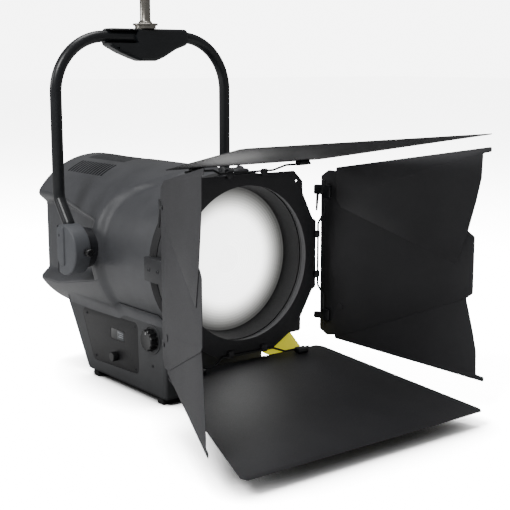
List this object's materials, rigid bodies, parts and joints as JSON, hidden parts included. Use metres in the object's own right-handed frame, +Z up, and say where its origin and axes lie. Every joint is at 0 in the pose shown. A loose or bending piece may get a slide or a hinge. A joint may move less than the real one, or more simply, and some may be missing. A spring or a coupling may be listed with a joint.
{
  "type": "fresnel spotlight",
  "caption": "LED Fresnel stage spotlight on its feet, with a tilting tube yoke, hanging spigot, focus carriage and an eight-leaf barndoor.",
  "frame": {"origin": "centre of the front rubber foot's underside, on the floor, below the lens axis", "axes": "+Z up, +X to the lamp's left side as its lens faces the viewer's side (-Y), light leaves along -Y, +Y to the rear grille; real sizes in metres"},
  "size_m": [0.5537, 0.7801, 0.721],
  "materials": {
    "graphite_casting": "fine-textured graphite powder coat",
    "satin_black": "satin black powder coat",
    "leaf_black": "matte black heat-resistant paint",
    "black_plastic": "matte black moulding",
    "cap_plastic": "fine-textured dark grey moulding",
    "rubber": "black rubber",
    "stainless": "turned stainless steel",
    "bright_steel": "ground steel",
    "raw_aluminium": "mill-finish aluminium",
    "reflector": "bright anodised",
    "yellow_plastic": "matte yellow moulding",
    "lens_glass": "clear stepped glass, lit from behind",
    "screen": "smoked screen window",
    "board": "green circuit board",
    "led": "white ceramic board with a lit dome"
  },
  "bodies": {
    "head": {"hood_shell": "graphite_casting", "barrel_shell": "graphite_casting", "base_shell": "graphite_casting", "base_floor": "satin_black", "foot_front": "rubber", "foot_rear": "rubber", "control_panel": "black_plastic", "display": "screen", "front_bezel": "satin_black", "accessory_holder": "satin_black", "fresnel_lens": "lens_glass", "lens_retainer": "satin_black", "front_ring": "raw_aluminium", "guide_rod_left": "bright_steel", "guide_rod_right": "bright_steel", "rear_bulkhead": "raw_aluminium", "fan_frame": "black_plastic", "rear_grille": "satin_black", "power_supply": "raw_aluminium", "driver_board": "board", "power_inlet": "black_plastic", "power_outlet": "black_plastic", "data_in": "black_plastic", "data_out": "black_plastic", "pivot_left": "satin_black", "pivot_right": "satin_black", "cup_bracket": "satin_black"},
    "carriage": {"carriage_plate": "raw_aluminium", "heatsink": "raw_aluminium", "led_board": "led", "reflector": "reflector"},
    "screw": {"lead_screw": "bright_steel"},
    "knob": {"focus_knob": "black_plastic"},
    "cup": {"focus_cup": "yellow_plastic"},
    "stem": {"encoder_stem": "bright_steel"},
    "dial": {"encoder_knob": "black_plastic"},
    "fan": {"fan_rotor": "black_plastic"},
    "latch": {"holder_latch": "satin_black"},
    "yoke": {"yoke_tube": "satin_black", "yoke_bracket": "satin_black", "cap_left": "cap_plastic", "cap_right": "cap_plastic"},
    "lock": {"tilt_lock": "black_plastic"},
    "spigot": {"spigot": "stainless"},
    "doors": {"door_frame": "leaf_black"},
    "leaf_left": {"leaf_left": "leaf_black", "wire_left": "satin_black"},
    "leaf_right": {"leaf_right": "leaf_black", "wire_right": "satin_black"},
    "leaf_top": {"leaf_top": "leaf_black", "wire_top": "satin_black"},
    "leaf_bottom": {"leaf_bottom": "leaf_black", "wire_bottom": "satin_black"},
    "flap_left_upper": {"flap_left_upper": "leaf_black"},
    "flap_left_lower": {"flap_left_lower": "leaf_black"},
    "flap_right_upper": {"flap_right_upper": "leaf_black"},
    "flap_right_lower": {"flap_right_lower": "leaf_black"}
  },
  "joints": [
    {"name": "focus_turn", "type": "hinge", "parent": "head", "child": "knob", "pos_m": [-0.1045, 0.013, 0.109], "axis": [-1, 0, 0], "range_deg": [0, 2160]},
    {"name": "focus_travel", "type": "slide", "parent": "head", "child": "carriage", "axis": [0, -1, 0], "range_m": [0, 0.09]},
    {"name": "screw_turn", "type": "hinge", "parent": "head", "child": "screw", "pos_m": [0, 0.142, 0.121], "axis": [0, -1, 0], "range_deg": [0, 2160]},
    {"name": "cup_turn", "type": "hinge", "parent": "head", "child": "cup", "pos_m": [0.112, -0.063, 0.109], "axis": [0, 0, 1], "range_deg": [0, 2160]},
    {"name": "menu_push", "type": "slide", "parent": "head", "child": "stem", "axis": [1, 0, 0], "range_m": [0, 0.0012], "stiffness_N_per_m": 600},
    {"name": "menu_turn", "type": "hinge", "parent": "stem", "child": "dial", "pos_m": [-0.1035, 0.128, 0.056], "axis": [-1, 0, 0], "continuous": true},
    {"name": "fan_spin", "type": "hinge", "parent": "head", "child": "fan", "pos_m": [0, 0.3335, 0.243], "axis": [0, 1, 0], "continuous": true},
    {"name": "latch_swing", "type": "hinge", "parent": "head", "child": "latch", "pos_m": [0, -0.07, 0.3906], "axis": [1, 0, 0], "range_deg": [-100, 0]},
    {"name": "tilt", "type": "hinge", "parent": "head", "child": "yoke", "pos_m": [0, 0.144, 0.251], "axis": [1, 0, 0], "range_deg": [-120, 30]},
    {"name": "tilt_lock_turn", "type": "hinge", "parent": "yoke", "child": "lock", "pos_m": [-0.172, 0.0985, 0.251], "axis": [0, -1, 0], "range_deg": [0, 720]},
    {"name": "pan", "type": "hinge", "parent": "yoke", "child": "spigot", "pos_m": [0.004, 0.185, 0.618], "axis": [0, 0, 1], "continuous": true},
    {"name": "door_turn", "type": "hinge", "parent": "head", "child": "doors", "pos_m": [0, -0.108, 0.243], "axis": [0, 1, 0], "continuous": true},
    {"name": "swing_left", "type": "hinge", "parent": "doors", "child": "leaf_left", "pos_m": [-0.149, -0.113, 0.243], "axis": [0, 0, -1], "range_deg": [-50, 60]},
    {"name": "swing_right", "type": "hinge", "parent": "doors", "child": "leaf_right", "pos_m": [0.149, -0.113, 0.243], "axis": [0, 0, 1], "range_deg": [-53, 60]},
    {"name": "swing_top", "type": "hinge", "parent": "doors", "child": "leaf_top", "pos_m": [0, -0.113, 0.39], "axis": [-1, 0, 0], "range_deg": [-10, 75]},
    {"name": "swing_bottom", "type": "hinge", "parent": "doors", "child": "leaf_bottom", "pos_m": [0, -0.113, 0.096], "axis": [1, 0, 0], "range_deg": [-10, 75]},
    {"name": "swivel_left_upper", "type": "hinge", "parent": "leaf_left", "child": "flap_left_upper", "pos_m": [-0.17399, -0.14281, 0.332], "axis": [-0.9272, 0.3746, 0], "range_deg": [-30, 6]},
    {"name": "swivel_left_lower", "type": "hinge", "parent": "leaf_left", "child": "flap_left_lower", "pos_m": [-0.17399, -0.14281, 0.154], "axis": [0.9272, -0.3746, 0], "range_deg": [-30, 6]},
    {"name": "swivel_right_upper", "type": "hinge", "parent": "leaf_right", "child": "flap_right_upper", "pos_m": [0.17576, -0.14123, 0.332], "axis": [-0.9026, -0.4305, 0], "range_deg": [-30, 6]},
    {"name": "swivel_right_lower", "type": "hinge", "parent": "leaf_right", "child": "flap_right_lower", "pos_m": [0.17576, -0.14123, 0.154], "axis": [0.9026, 0.4305, 0], "range_deg": [-30, 6]}
  ],
  "couplings": [
    {"joint": "focus_turn", "follows": "focus_travel", "rad_per_m": 418.88},
    {"joint": "screw_turn", "follows": "focus_travel", "rad_per_m": 418.88},
    {"joint": "cup_turn", "follows": "focus_travel", "rad_per_m": 418.88}
  ]
}
